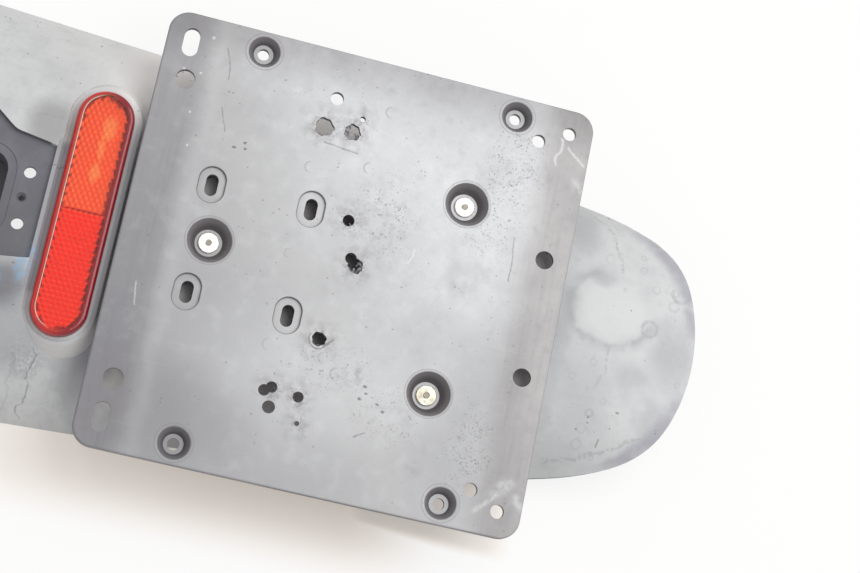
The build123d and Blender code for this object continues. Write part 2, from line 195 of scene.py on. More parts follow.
PALE_SMEARS = (
    (((147.1, -101.5), (151.0, -98.8), (155.0, -94.7), (158.5, -90.2)), 3.0),
    (((156.5, -92.8), (160.3, -87.4), (163.0, -82.8)), 7.0),
    (((165.8, -91.5), (168.5, -92.5), (171.5, -94.9)), 5.0),
    (((165.8, 76.7), (168.7, 72.5), (171.0, 68.7)), 5.0),
)

# Broad lighter and darker areas of the carrier: colour, middle, reach along X and Y, strength
CARRIER_AREAS = (
    ("bloom", (50, -56), (46, 30), 0.36),
    ("bloom", (35, 35), (30, 40), 0.12),
    ("bloom", (154, -100), (5, 12), 0.2),
    ("dull", (137, -72), (24, 52), 0.6),
    ("dull", (147, -24), (14, 24), 0.4),
    ("dull", (-22, -98), (40, 26), 0.8),
    ("dull", (30, -104), (70, 18), 0.25),
    ("dull", (92, 100), (50, 18), 0.15),
    ("dull", (112, -19), (17, 13), 0.4),
    ("dull", (143, 33), (9, 16), 0.25),
    ("dull", (-2, -46), (28, 24), 0.3),
    ("dull", (164, -78), (12, 28), 0.3),
    ("wall", (-26, -90), (30, 28), 0.36),
    ("wall", (0, -88), (26, 18), 0.18),
)
# Zones with dirt specks, zones where they are thick, soft marks, painted glare on the prisms: middle, reach
SPECK_ZONES = (
    ((136, 78), (15, 20)),
    ((74, 33), (15, 20)),
    ((141, -75), (12, 19)),
    ((63, -48), (19, 12)),
    ((128, 52), (16, 24)),
    ((96, -66), (16, 12)),
)
THICK_SPECK_ZONES = (((137, 76), (9, 16)), ((139, -72), (11, 21)))
SOFT_MARKS = (((114.1, -88.2), (5, 4)), ((77.8, -48.8), (3, 3)))
PRISM_GLARE = (((-68.6, 44), (3.2, 6.5)), ((-70, 33), (1.8, 5)), ((-70.4, 20.5), (2.2, 5)))

# Clouds in the plastic: colour, size, low and high limit of the noise, detail, seed, strength
SHELL_CLOUDS = (
    ("dull", 48, 0.4, 0.72, 5, 2, 0.75),
    ("dull", (60, 7, 7), 0.5, 0.75, 5, 3, 0.4),
    ("tide", 13, 0.45, 0.8, 6, 10, 0.3),
    ("tide", 3, 0.45, 0.8, 5, 11, 0.24),
)
CARRIER_CLOUDS = (
    ("dull", 6, 0.5, 0.75, 6, 16, 0.26),
    ("bloom", 10, 0.48, 0.72, 6, 26, 0.2),
    ("dull", 0.9, 0.4, 0.8, 3, 27, 0.14),
)

# Large dried puddle on the tongue: middle, reach. Runs and dashes of the shell: points, width
POOL = ((202, 18), (22.5, 18.5))
TONGUE_RUNS = (
    (((186, 70), (195, 62), (198.2, 58), (201.3, 49.6), (204.1, 38.7)), 1.5),
    (((182, -65.3), (196, -62), (213, -54.9), (221, -48.7), (229, -45.3)), 2.0),
    (((203, -3), (204, -14), (200, -24)), 1.2),
)
SHELL_DASHES = (
    (((-95.3, 19.1), (-92, 18.6), (-85.6, 20.2)), 0.6),
    (((207.9, -49.5), (207.3, -54)), 0.7),
)
# Ragged edge of the puddle below the reflector, and how far off its faint second edge lies
TIDE_LINE = (
    (-79.4, -69.8), (-76.8, -72.4), (-79.4, -84), (-77.6, -85.3), (-77.3, -88.4), (-78.4, -94.4),
    (-81, -95.8), (-80.9, -98.4), (-78.2, -101.2),
)
SECOND_TIDE = (-9, -4)
# Stains of the tongue: what their edge follows, middle, reach, softness, strength. Patches by the carrier
# and the lamp seat: the same, after a colour. Blue smears: middle, reach
TONGUE_STAINS = (
    ("loose", (194.5, 33), (6, 4), 1.4, 1.0),
    ("loose", (182, 57), (8, 12), 1.4, 1.0),
    ("loose", (188, -60), (11, 12), 1.4, 0.4),
    ("drifting", (234, -36), (8, 12), 1.4, 1.0),
    ("drifting", (218, -16), (12, 8), 1.6, 1.0),
    ("loose", (178, -14), (6, 34), 1.4, 1.0),
    ("drifting", (192, -26), (16, 18), 1.5, 1.0),
    ("drifting", (235, 2), (9, 16), 1.5, 1.0),
)
# Patches: the painted light ones lighten plastic in the carrier's shade, the tide and seat ones are
# painted shade below the lamp seat, and the stain one darkens the plastic beside the reflector's top
SHELL_PATCHES = (
    ("open", "place", (-48, 84), (22, 34), 1.0, 1.0),
    ("open", "place", (-34, -76), (10, 10), 0.8, 1.0),
    ("open", "loose", (-76, 90), (34, 30), 1.2, 0.2),
    ("stain", "loose", (-96, 39), (12, 13), 1.0, 0.7),
    ("tide", "drifting", (-95, -62), (17, 20), 1.4, 0.7),
    ("seat", "loose", (-104, -43), (15, 12), 1.2, 0.8),
)
SHELL_SMEARS = (((-108, -40), (6, 6)), ((-94, -35), (4, 6)), ((-90.5, -28), (2, 9)))


class ShellSettings(PropertyGroup):
    """Colours of the fender's bleached plastic."""

    pale: colour_of("Bleached", "Plastic that the sun has bleached", "#D6D7D7")
    dull: colour_of("Dull", "Clouded patches of the bleached plastic", "#C5C6C7")
    tide: colour_of("Tide mark", "Edges of dried puddles", "#A4A6A9")
    stain: colour_of("Stain", "Dull patch beside the reflector", "#929391")
    # Painted shade along the tongue's rim, where it is also less bleached, and beside the carrier's left
    # edge
    violet: colour_of("Worn rim", "Plastic that is less bleached, near the rim", "#A4A3AC")
    covered: colour_of("Covered", "Plastic that the carrier has kept from the sun", "#B0ADAD")
    # Painted light: a pale colour laid on plastic that lies in the shade of the carrier and of the
    # reflector's pad
    open: colour_of("Half covered", "Plastic beside the carrier that is most bleached", "#F2EFEC")
    seat: colour_of("Lamp seat", "Plastic that the lamp has kept from the sun", "#68676F")
    strip: colour_of("Strip", "Ridge between the lamp seat and the reflector", "#96979D")
    wall: colour_of("Walls", "Faces that the sun has missed", "#6A696E")
    smear: colour_of("Blue smear", "Old smears beside the reflector", "#7CB2DC")
    crack: colour_of("Crack", "Hairline cracks", "#5B5A5E")


class CarrierSettings(PropertyGroup):
    """Colours of the plate carrier's scuffed plastic."""

    # The field is darker at the lamp end and lighter towards the tip
    lamp_end: colour_of("Lamp end", "The field towards the lamp", "#9F9FA2")
    middle: colour_of("Middle", "The middle of the field", "#BCBCBD")
    tip_end: colour_of("Tip end", "The field towards the tip, most bleached", "#D6D7D9")
    bloom: colour_of("Bloom", "White clouds in the plastic", "#E7E8E9")
    dull: colour_of("Dull", "Grey clouds in the plastic", "#A6A6A9")
    # Painted shade of the end strips
    lamp_strip: colour_of("Lamp strip", "Shade of the strip at the lamp's end", "#DDDBDD")
    tip_strip: colour_of("Tip strip", "Shade of the strip at the tip's end", "#D6D2D0")
    # Also painted shade along the carrier's far long edge
    grime_and_shade: colour_of("Grime", "Shade of dirt by the holes and the edge", "#C4C2C3")
    wall: colour_of("Walls", "Upper part of the walls that the sun has missed", "#7B777A")
    # Painted shade: lower walls and the lines of the slots' sinks; also the colour of torn slivers
    deep: colour_of("Deep walls", "Lower part of the walls", "#565255")
    mark: colour_of("Marks", "Dirt specks and dark scratches", "#68676C")
    scuff: colour_of("Scuffs", "Pale scratches", "#F2F2F2")


class ReflectorSettings(PropertyGroup):
    """Colours of the reflector and size of its prisms."""

    lens: colour_of("Lens", "Red acrylic over the straight prisms", "#FF8E60")
    slanted: colour_of("Slanted field", "Red acrylic over the slanted prisms", "#FFC08E")
    # Painted light and shade of the rim: lighter on the lamp's side, darker on the carrier's side
    lit_rim: colour_of("Lit rim", "Rim of the lens on the lamp's side", "#E32622")
    dark_rim: colour_of("Dark rim", "Rim of the lens on the carrier's side", "#9C1A26")
    # Painted highlight and shade of the prism faces, by the way each face leans
    bright: colour_of("Bright prisms", "Prism faces that throw the light back", "#FFC4AA")
    deep: colour_of("Deep prisms", "Prism faces that lose the light", "#F8452E")
    # Painted glare on the prisms and a painted highlight on the lens's step
    glare: colour_of("Glare", "Scuffs and moulded edges that turn the light pale", "#FFF1EE")
    back: colour_of("Back", "Plate behind the prisms", "#F02A2E")
    pitch: number_of("Prism pitch", "Distance from prism to prism", 2.8 * MM, "LENGTH")
    depth: number_of("Prism depth", "Height of the prisms", 0.85 * MM, "LENGTH")


class FastenerSettings(PropertyGroup):
    """Colours of the metal pieces."""

    aluminium: colour_of("Rivet", "Bright aluminium", "#DEDCD5")
    stained: colour_of("Stained rivet", "Aluminium with a yellow stain", "#B6B09D")
    steel: colour_of("Steel", "Zinc-plated steel", "#C9C8C4")
    stub: colour_of("Mandrel", "Snapped steel mandrel", "#8C857B")
    bloom: colour_of("Bloom", "Dull bloom on the metal", "#AAA8A4")


class StageSettings(PropertyGroup):
    """Camera, light and floor."""

    target: FloatVectorProperty(
        name="Target",
        description="Point that the camera looks at",
        default=(0.1041, 0.0035, 0.05),
        unit="LENGTH",
    )
    distance: number_of("Distance", "From camera to target", 1.0031, "LENGTH")
    azimuth: number_of("Azimuth", "Camera's turn about the vertical", math.radians(-32.65), "ROTATION")
    elevation: number_of("Elevation", "Camera's height", math.radians(74.07), "ROTATION")
    roll: number_of("Roll", "Camera's turn about its own axis", math.radians(45.3), "ROTATION")
    lens: number_of("Lens", "Focal length", 83.72, "CAMERA")
    floor: colour_of("Floor", "Pale studio floor", "#FCFAF7")
    shade: colour_of("Shade", "White of the floor where its shadow shows most", "#FFF1E4")
    sky: number_of("Sky", "Strength of the light from all sides", 0.5)
    key: number_of("Key light", "Power of the soft lamp", 9.4, "POWER")


def add_node(owner, kind, inputs=None, **settings):
    """Adds a node to a tree, or to the tree that a socket is in, and sets or links its inputs."""
    tree = owner.id_data
    node = tree.nodes.new(kind)
    for name, value in settings.items():
        setattr(node, name, value)
    for socket, value in (inputs or {}).items():
        if isinstance(value, bpy.types.NodeSocket):
            tree.links.new(value, node.inputs[socket])
        else:
            node.inputs[socket].default_value = value
    return node


def new_material(name, **sockets):
    """A material with one Principled shader, whose constant values are given by socket name."""
    material = bpy.data.materials.new(name)
    material.use_nodes = True
    shader = material.node_tree.nodes["Principled BSDF"]
    for socket, value in sockets.items():
        shader.inputs[socket.replace("_", " ")].default_value = value
    return material, material.node_tree, shader


def millimetres(tree):
    """The place on the model in millimetres, as a vector."""
    where = add_node(tree, "ShaderNodeTexCoord")
    return add_node(
        tree, "ShaderNodeVectorMath", {0: where.outputs["Object"], "Scale": 1 / MM}, operation="SCALE"
    ).outputs["Vector"]


def along(vector, way):
    """How far a vector reaches along a way."""
    dot = add_node(vector, "ShaderNodeVectorMath", {0: vector, 1: way}, operation="DOT_PRODUCT")
    return dot.outputs["Value"]


def noise(place, size, detail=3.0, seed=0.0, output="Fac"):
    """Noise with patches about a size wide. The size may differ along the three axes."""
    sizes = size if isinstance(size, tuple) else (size, size, size)
    scaled = add_node(
        place, "ShaderNodeVectorMath", {0: place, 1: [1 / s for s in sizes]}, operation="MULTIPLY"
    ).outputs[0]
    return add_node(
        place,
        "ShaderNodeTexNoise",
        {"Vector": scaled, "W": seed, "Scale": 1.0, "Detail": detail},
        noise_dimensions="4D",
    ).outputs[output]


def past(value, edge, soft):
    """Mask that goes from 0 to 1 as a value passes an edge, or back if soft is negative."""
    return add_node(
        value,
        "ShaderNodeMapRange",
        {"Value": value, "From Min": edge - soft / 2, "From Max": edge + soft / 2},
        interpolation_type="SMOOTHSTEP",
    ).outputs["Result"]


def clouds(place, size, low, high, detail=3.0, seed=0.0):
    """Mask with patches about a size wide, from 0 where the noise is low to 1 where it is high."""
    return past(noise(place, size, detail, seed), (low + high) / 2, high - low)


def both(first, second):
    """Mask of what two masks share, or a mask or measure times a number."""
    return add_node(first, "ShaderNodeMath", {0: first, 1: second}, operation="MULTIPLY").outputs[0]


def any_of(masks):
    """Mask of the places that any of several masks covers."""
    total = masks[0]
    for mask in masks[1:]:
        total = add_node(mask, "ShaderNodeMath", {0: total, 1: mask}, operation="MAXIMUM").outputs[0]
    return total


def outside(mask, whole=1.0):
    """What a mask or measure leaves of a whole."""
    return add_node(mask, "ShaderNodeMath", {0: whole, 1: mask}, operation="SUBTRACT").outputs[0]


def between(value, low, high, soft, high_soft=None):
    """Mask of a value between two limits. The upper one may be soft in its own measure."""
    return both(past(value, low, soft), past(value, high, -(high_soft or soft)))


def reach(place, centre, radii):
    """Distance from a point of the XY plane, as a share of the radii along X and Y."""
    scale = (1 / radii[0], 1 / radii[1], 0)
    shift = (-centre[0] / radii[0], -centre[1] / radii[1], 0)
    scaled = add_node(
        place, "ShaderNodeVectorMath", {0: place, 1: scale, 2: shift}, operation="MULTIPLY_ADD"
    )
    length = add_node(place, "ShaderNodeVectorMath", {0: scaled.outputs[0]}, operation="LENGTH")
    return length.outputs["Value"]


def spot(place, centre, radii, soft):
    """Oval mask about a point of the XY plane, soft as a share of its radius."""
    return past(reach(place, centre, radii), 1, -soft)


def spots(place, table, soft):
    """Mask of several ovals, by their middles and radii."""
    return any_of([spot(place, centre, radii, soft) for centre, radii in table])


def ring(place, centre, radii, width):
    """Mask of an oval line, its width given as a share of the radius."""
    return between(reach(place, centre, radii), 1 - width / 2, 1 + width / 2, width)


def oblong_reach(place, centre, half):
    """Distance from the middle line of an oblong along Y that is straight for half to each side."""
    steps = (
        ("SUBTRACT", (*centre, 0)),
        ("ABSOLUTE", (0, 0, 0)),
        ("SUBTRACT", (0, half, 0)),
        ("MAXIMUM", (0, 0, 0)),
    )
    for operation, by in steps:
        place = add_node(place, "ShaderNodeVectorMath", {0: place, 1: by}, operation=operation).outputs[0]
    return reach(place, (0, 0), (1, 1))


def wandering(place, size, amount, seed=0.0):
    """The place moved about by noise, so that what is drawn on it has an uneven edge."""
    shift = add_node(
        place,
        "ShaderNodeVectorMath",
        {0: noise(place, size, seed=seed, output="Color"), 1: (0.5, 0.5, 0.5)},
        operation="SUBTRACT",
    ).outputs[0]
    return add_node(
        place, "ShaderNodeVectorMath", {0: shift, 1: (amount, amount, 0), 2: place}, operation="MULTIPLY_ADD"
    ).outputs[0]


def stroke(place, points, width, bend_type="VECTOR"):
    """Mask of a line through points of the XY plane that all go on along X or along Y."""
    x, y = add_node(place, "ShaderNodeSeparateXYZ", {0: place}).outputs[:2]
    spans = [max(p[i] for p in points) - min(p[i] for p in points) for i in (0, 1)]
    main = 0 if spans[0] > spans[1] else 1
    points = sorted(points, key=lambda p: p[main])
    low, high = points[0][main], points[-1][main]
    side_low = min(p[1 - main] for p in points)
    side_span = max(spans[1 - main], width)
    along, across = (x, y) if main == 0 else (y, x)
    share = add_node(place, "ShaderNodeMapRange", {"Value": along, "From Min": low, "From Max": high})
    bend = add_node(place, "ShaderNodeFloatCurve", {"Value": share.outputs["Result"]})
    curve = bend.mapping.curves[0]
    stops = [((p[main] - low) / (high - low), (p[1 - main] - side_low) / side_span) for p in points]
    curve.points[0].location = stops[0]
    curve.points[-1].location = stops[-1]
    for stop in stops[1:-1]:
        curve.points.new(*stop)
    for point in curve.points:
        point.handle_type = bend_type
    bend.mapping.update()
    line = add_node(
        place, "ShaderNodeMath", {0: bend.outputs[0], 1: side_span, 2: side_low}, operation="MULTIPLY_ADD"
    ).outputs[0]
    off = add_node(place, "ShaderNodeMath", {0: outside(line, across)}, operation="ABSOLUTE")
    return both(past(off.outputs[0], width / 2, -width), between(along, low, high, width))


def strokes(place, table, bend_type="VECTOR"):
    """Mask of several lines, by their points and widths."""
    return any_of([stroke(place, points, width, bend_type) for points, width in table])


def steep(place, level):
    """Mask of the faces that look sideways or down, whose normal rises less than a level."""
    normal = add_node(place, "ShaderNodeNewGeometry").outputs["Normal"]
    return past(along(normal, (0, 0, 1)), level, -0.2)


def tint(under, colour, mask, strength=1.0, blend="MIX"):
    """Lays a colour over another where a mask says."""
    return add_node(
        mask,
        "ShaderNodeMix",
        {0: both(mask, strength), 6: under, 7: colour},
        data_type="RGBA",
        blend_type=blend,
    ).outputs[2]


class Coat:
    """Colour of a surface, built up in layers of its settings' colours."""

    def __init__(self, look, colour):
        self.look = look
        self.colour = colour

    def lay(self, colour, mask, strength=1.0, blend="MIX"):
        """Lays on a colour, or the setting of that name, where a mask says."""
        if isinstance(colour, str):
            colour = getattr(self.look, colour)
        self.colour = tint(self.colour, colour, mask, strength, blend)

    def cloud(self, place, table):
        """Lays on the clouds of a table."""
        for name, size, low, high, detail, seed, strength in table:
            self.lay(name, clouds(place, size, low, high, detail, seed), strength)


def bands(value, stops):
    """Colour that changes along a value, through stops of a value and a colour."""
    low, high = stops[0][0], stops[-1][0]
    share = add_node(value, "ShaderNodeMapRange", {"Value": value, "From Min": low, "From Max": high})
    ramp = add_node(value, "ShaderNodeValToRGB", {"Fac": share.outputs["Result"]})
    marks = ramp.color_ramp.elements
    marks[0].color, marks[1].color = stops[0][1], stops[-1][1]
    for stop, colour in stops[1:-1]:
        marks.new((stop - low) / (high - low)).color = colour
    return ramp.outputs["Color"]


def specks(place, size, share, seed):
    """Mask of fine dots about a size apart, of which only a share shows."""
    moved = add_node(place, "ShaderNodeVectorMath", {0: place, 1: (seed, seed, 0)}, operation="ADD")
    cells = add_node(
        place,
        "ShaderNodeTexVoronoi",
        {"Vector": moved.outputs[0], "Scale": 1 / size},
        voronoi_dimensions="2D",
    )
    pick = add_node(place, "ShaderNodeSeparateXYZ", {0: cells.outputs["Color"]}).outputs
    radius = both(pick[1], 0.26)
    inside = past(outside(radius, cells.outputs["Distance"]), 0, -0.12)
    return both(inside, past(pick[0], 1 - share, 0.02))


def grain(shader, place, size, depth, seed=0.0):
    """Fine moulded texture: bump of a grain size and depth in millimetres."""
    bump = add_node(
        place,
        "ShaderNodeBump",
        {"Height": noise(place, size, 2.0, seed), "Strength": 1.0, "Distance": depth * MM},
    )
    place.id_data.links.new(bump.outputs["Normal"], shader.inputs["Normal"])


def uneven_gloss(shader, place, size, low, high, seed):
    """Roughness that drifts between two values."""
    rough = add_node(
        place,
        "ShaderNodeMapRange",
        {"Value": clouds(place, size, 0.3, 0.7, seed=seed), "To Min": low, "To Max": high},
    )
    place.id_data.links.new(rough.outputs["Result"], shader.inputs["Roughness"])


def bleached_polypropylene(look):
    """Moulded polypropylene, bleached by sun: chalky, satin, tide marks of old rain, painted light and
    shade.
    """
    material, tree, shader = new_material("polypropylene_moulded_bleached", IOR=1.49)
    place = millimetres(tree)
    x, y, z = add_node(tree, "ShaderNodeSeparateXYZ", {0: place}).outputs
    loose = wandering(place, 9, 7, seed=1)
    drifting = wandering(place, 17, 20, seed=8)
    winding = wandering(place, 6, 6, seed=9)
    ragged = wandering(place, 2.5, 2.4, seed=5)
    places = {"place": place, "loose": loose, "drifting": drifting}
    uneven = clouds(place, 7, 0.25, 0.6, seed=12)
    crumbly = clouds(place, 1.8, 0.35, 0.6, seed=13)
    coat = Coat(look, look.pale)
    coat.cloud(place, SHELL_CLOUDS)
    # Dried puddles on the tongue: one large loop, broken at the upper right, and runs beside it
    tongue = past(x, TONGUE_X, 16)
    pool = reach(loose, *POOL)
    inside = past(pool, 0.8, -0.35)
    coat.lay("dull", both(tongue, outside(inside)), 0.25)
    coat.lay("pale", inside, 0.7)
    loop = between(pool, 0.95, 1.14, 0.16, 0.34)
    opened = any_of([past(y, 14, -10), past(x, 194, -6)])
    coat.lay("tide", both(both(loop, opened), uneven), 0.75)
    coat.lay("crack", both(strokes(winding, TONGUE_RUNS), crumbly), 0.28)
    stains = any_of([
        both(spot(places[where], centre, radii, soft), strength)
        for where, centre, radii, soft, strength in TONGUE_STAINS
    ])
    coat.lay("tide", stains, 0.5)
    # Droplet rings
    drops = add_node(
        tree, "ShaderNodeTexVoronoi", {"Vector": ragged, "Scale": 1 / DROP_PITCH}, voronoi_dimensions="2D"
    )
    pick = add_node(tree, "ShaderNodeSeparateXYZ", {0: drops.outputs["Color"]}).outputs
    off = outside(both(pick[1], 0.3), drops.outputs["Distance"])
    trails = both(between(off, -0.05, 0.05, 0.1), past(pick[0], 0.8, 0.02))
    coat.lay("tide", both(both(trails, tongue), uneven), 0.35)
    rings = any_of([
        ring(place, (223.3, 12), (4, 4), 0.4),
        ring(place, (199.8, -38), (1.8, 1.8), 0.6),
        both(ring(place, (237, 34), (4.5, 4.5), 0.35), past(y, 35, -4)),
    ])
    coat.lay("tide", both(rings, clouds(place, 4, 0.2, 0.6, seed=34)), 0.7)
    # Violet along the rim of the tongue: painted shade where the surface rolls off, and less bleached
    # plastic
    rim = past(reach(loose, (TONGUE_X, 0), (77, 76)), 0.95, 0.09)
    sides = any_of([between(y, 14, 64, 14), between(y, -62, -20, 14)])
    darker_rim = both(both(rim, sides), both(tongue, clouds(place, 12, 0.15, 0.5, seed=7)))
    coat.lay("violet", darker_rim, 0.85)
    # Kept from the sun under the carrier and under the lamp, with painted light under the carrier's far side
    under_x = between(x, -12, CARRIER_HIGH.x - 3, 44, 6)
    shade = both(under_x, between(y, -104, 104, 16))
    kept = tint(look.covered, look.open, past(y, 48, 40))
    coat.lay(kept, shade)
    for name, where, centre, radii, soft, strength in SHELL_PATCHES:
        coat.lay(name, spot(places[where], centre, radii, soft), strength)
    level = both(past(z, SEAT_LEVEL_Z, -0.6), past(x, SEAT_END_X + 0.8, -1))
    seat = both(level, between(y, -SEAT_HALF, SEAT_HALF, 1))
    rise = both(between(x, SEAT_END_X + 0.4, LENS_LOW.x, 0.8), between(y, -44, 33, 4))
    coat.lay("strip", rise, 0.9)
    # Painted shade in the groove between the seat's ridge and the reflector
    groove = both(rise, between(x, SEAT_END_X + 2.2, SEAT_END_X + 4, 1))
    coat.lay("seat", groove, 0.3)
    coat.lay("seat", seat)
    cloudy = both(seat, clouds(place, 14, 0.4, 0.7, detail=5, seed=14))
    coat.lay("strip", cloudy, 0.2)
    coat.lay("crack", both(seat, past(y, 6, -40)), 0.4)
    # Painted shade on the strip between the reflector and the carrier, and old smears round the reflector
    beside = between(x, LENS_HIGH.x - 1, CARRIER_LOW.x + 12, 6)
    coat.lay("tide", both(beside, between(y, -75, 46, 20)), 0.7)
    patchy = clouds(place, 4, 0.4, 0.7)
    for centre, radii in SHELL_SMEARS:
        coat.lay("smear", both(spot(loose, centre, radii, 1.0), patchy), 0.6)
    # Below the reflector a puddle has dried with a ragged edge
    damp = both(past(along(drifting, DAMP_WAY), -105.5, 7), past(y, -60, -10))
    damp = both(damp, past(x, -44, -8))
    coat.lay("tide", damp, 0.45)
    # Painted shade, violet, beside the carrier's left edge
    carrier_edge_shade = both(damp, spot(loose, (-55, -73), (7, 14), 1.2))
    coat.lay("violet", carrier_edge_shade, 0.4)
    crust = both(spot(loose, (-82, -75), (9, 9), 1.0), crumbly)
    coat.lay("tide", crust, 0.7)
    second_line = [(px + SECOND_TIDE[0], py + SECOND_TIDE[1]) for px, py in TIDE_LINE]
    lines = any_of([stroke(ragged, TIDE_LINE, 0.7), both(stroke(ragged, second_line, 1.0), 0.3)])
    coat.lay("crack", lines, 0.5)
    dashes = any_of([
        strokes(place, SHELL_DASHES),
        spot(place, (214.2, -34.8), (1.0, 0.6), 0.4),
        both(specks(ragged, 2.4, 0.06, 40), clouds(place, 30, 0.45, 0.6, seed=6)),
    ])
    coat.lay("crack", dashes, 0.6)
    # Painted light on the pad's slopes that face away from the lamp; other walls in plastic the sun has
    # missed
    pad = past(oblong_reach(place, (LENS_X, 0), LENS_STRAIGHT), PAD_RADIUS, -2)
    turned = any_of([past(y, -52, -8), past(x, LENS_LOW.x, -2)])
    coat.lay("open", both(both(steep(place, 0.8), pad), turned), 0.5)
    coat.lay("wall", both(steep(place, 0.3), outside(pad)))
    tree.links.new(coat.colour, shader.inputs["Base Color"])
    uneven_gloss(shader, place, 40, 0.46, 0.6, seed=3)
    grain(shader, place, 1.4, 0.04, seed=4)
    return material


def scuffed_polypropylene(look):
    """Moulded polypropylene plate: satin, lighter towards the tip, dark on the walls the sun missed, with
    painted shade.
    """
    material, tree, shader = new_material("polypropylene_moulded_scuffed", IOR=1.49)
    place = millimetres(tree)
    x, y, z = add_node(tree, "ShaderNodeSeparateXYZ", {0: place}).outputs
    loose = wandering(place, 14, 8, seed=1)
    ragged = wandering(place, 1.8, 1.6, seed=5)
    drift = along(wandering(place, 45, 60, seed=2), LIGHTENING_WAY)
    coat = Coat(look, bands(drift, ((-90, look.lamp_end), (35, look.middle), (115, look.tip_end))))
    white = both(clouds(place, 20, 0.5, 0.72, detail=5, seed=3), past(drift, 90, 70))
    coat.lay("bloom", white, 0.5)
    coat.lay("dull", clouds(place, 26, 0.52, 0.78, detail=5, seed=8), 0.4)
    blotches = both(clouds(place, 7, 0.5, 0.7, detail=6, seed=17), past(drift, 60, 90))
    coat.lay("bloom", blotches, 0.3)
    coat.cloud(place, CARRIER_CLOUDS)
    for name, centre, radii, strength in CARRIER_AREAS:
        coat.lay(name, spot(loose, centre, radii, 1.5), strength)
    # Ends darker as painted shade, as if bent down, and a painted highlight on the ridge by the lamp's strip
    loose_x = along(loose, (1, 0, 0))
    ridge = between(loose_x, CARRIER_LOW.x + 24, CARRIER_LOW.x + 32, 9)
    coat.lay("bloom", ridge, 0.1)
    lamp_strip = past(loose_x, CARRIER_LOW.x + 23, -15)
    coat.lay("lamp_strip", lamp_strip, blend="MULTIPLY")
    tip_strip = past(loose_x, CARRIER_HIGH.x - 23, 17)
    coat.lay("tip_strip", tip_strip, blend="MULTIPLY")
    ends = any_of([lamp_strip, tip_strip])
    streaks = both(ends, clouds(place, (2.2, 45, 45), 0.45, 0.75, detail=5, seed=4))
    coat.lay("grime_and_shade", streaks, 0.2, blend="MULTIPLY")
    # Painted shade along the carrier's far long edge, as if it rolled down
    coat.lay("grime_and_shade", past(y, CARRIER_HIGH.y - 15, 26), 0.65, blend="MULTIPLY")
    # Grime and crumbs round the holes
    near = any_of([spot(ragged, h[:2], (h[2] + 2.6, h[2] + 2.6), 0.7) for h in BURRS])
    around = any_of([spot(loose, h[:2], (h[2] + 6, h[2] + 6), 1.4) for h in BURRS])
    grime_and_shade = both(around, clouds(place, 5, 0.35, 0.7, detail=5, seed=18))
    coat.lay("grime_and_shade", grime_and_shade, 0.75, blend="MULTIPLY")
    crumbs = both(near, clouds(place, 1.3, 0.5, 0.62, detail=3, seed=19))
    coat.lay("mark", crumbs, 0.4)
    flakes = both(near, clouds(place, 1.5, 0.58, 0.66, detail=3, seed=20))
    coat.lay("bloom", flakes, 0.35)
    # Dirt specks, thick in places
    zones = spots(loose, SPECK_ZONES, 1.2)
    bunches = clouds(place, 6, 0.42, 0.58, seed=29)
    grains = both(clouds(place, 1.2, 0.58, 0.66, seed=28), bunches)
    dirt = any_of([both(specks(ragged, 1.5, 0.12, 7), 0.8), grains])
    coat.lay("mark", both(dirt, zones), 0.75)
    thick = both(spots(loose, THICK_SPECK_ZONES, 1.2), clouds(place, 5, 0.42, 0.6, seed=36))
    fines = both(clouds(place, 1.0, 0.5, 0.62, seed=35), thick)
    coat.lay("mark", fines, 0.5)
    film = both(zones, clouds(place, 3.5, 0.5, 0.7, seed=24))
    coat.lay("dull", film, 0.35)
    coat.lay("mark", specks(ragged, 2.2, 0.03, 31), 0.45)
    # Plastic that melted at one hole, with a chip beside it
    under = past(along(place, MELTED_WAY), -3.4, -4)
    lip = both(ring(ragged, MELTED_HOLE, (4.1, 3.9), 0.26), under)
    coat.lay("bloom", lip, 0.4)
    lip_edge = both(ring(ragged, MELTED_HOLE, (4.8, 4.6), 0.14), under)
    chip = stroke(ragged, ((57.4, -38.6), (59.6, -37.4), (62.3, -34.2)), 1.5)
    coat.lay("mark", any_of([lip_edge, chip]), 0.75)
    # Painted shade: dark lines round the slots' sinks and the dishes, where their walls and rims lie in
    # shade
    sinks = []
    for centre in SLOT_SINKS:
        edge = oblong_reach(place, centre, SLOT_SINK_HALF)
        sinks.append(between(edge, SLOT_SINK_RADIUS - 0.25, SLOT_SINK_RADIUS + 0.3, 0.3))
    coat.lay("deep", any_of(sinks), 0.8)
    rounds = [ring(place, centre, (size, size), 0.4 / size) for centre, size in DISHES]
    coat.lay("wall", any_of(rounds), 0.55)
    # Scratches, dots, faint rings of the mould and smears
    soft_marks = both(spots(loose, SOFT_MARKS, 1.2), clouds(place, 3, 0.3, 0.6, seed=30))
    coat.lay("dull", soft_marks, 0.7)
    dark = both(strokes(ragged, DARK_SCRATCHES), clouds(place, 4, 0.2, 0.55))
    coat.lay("mark", dark, 0.6)
    dots = [spot(ragged, centre, (size * 1.4, size), 0.5) for centre, size in DARK_DOTS]
    coat.lay("mark", any_of(dots), 0.8)
    arcs = any_of([
        both(ring(place, centre, (size, size), 0.25), past(x, centre[0] - 0.5, -3))
        for centre, size in MOULD_RINGS
    ])
    coat.lay("dull", arcs, 0.7)
    pale = [spot(ragged, centre, (size, size), 0.5) for centre, size in PALE_DOTS]
    pale.append(strokes(ragged, PALE_SCRATCHES, "AUTO"))
    coat.lay("scuff", any_of(pale), 0.5)
    rubbed = clouds(place, 3.2, 0.2, 0.75, detail=6, seed=32)
    coat.lay("bloom", both(strokes(place, PALE_SMEARS), rubbed), 0.6)
    hairlines = clouds(place, (40, 0.5, 1), 0.66, 0.74, detail=1, seed=15)
    coat.lay("scuff", hairlines, 0.1)
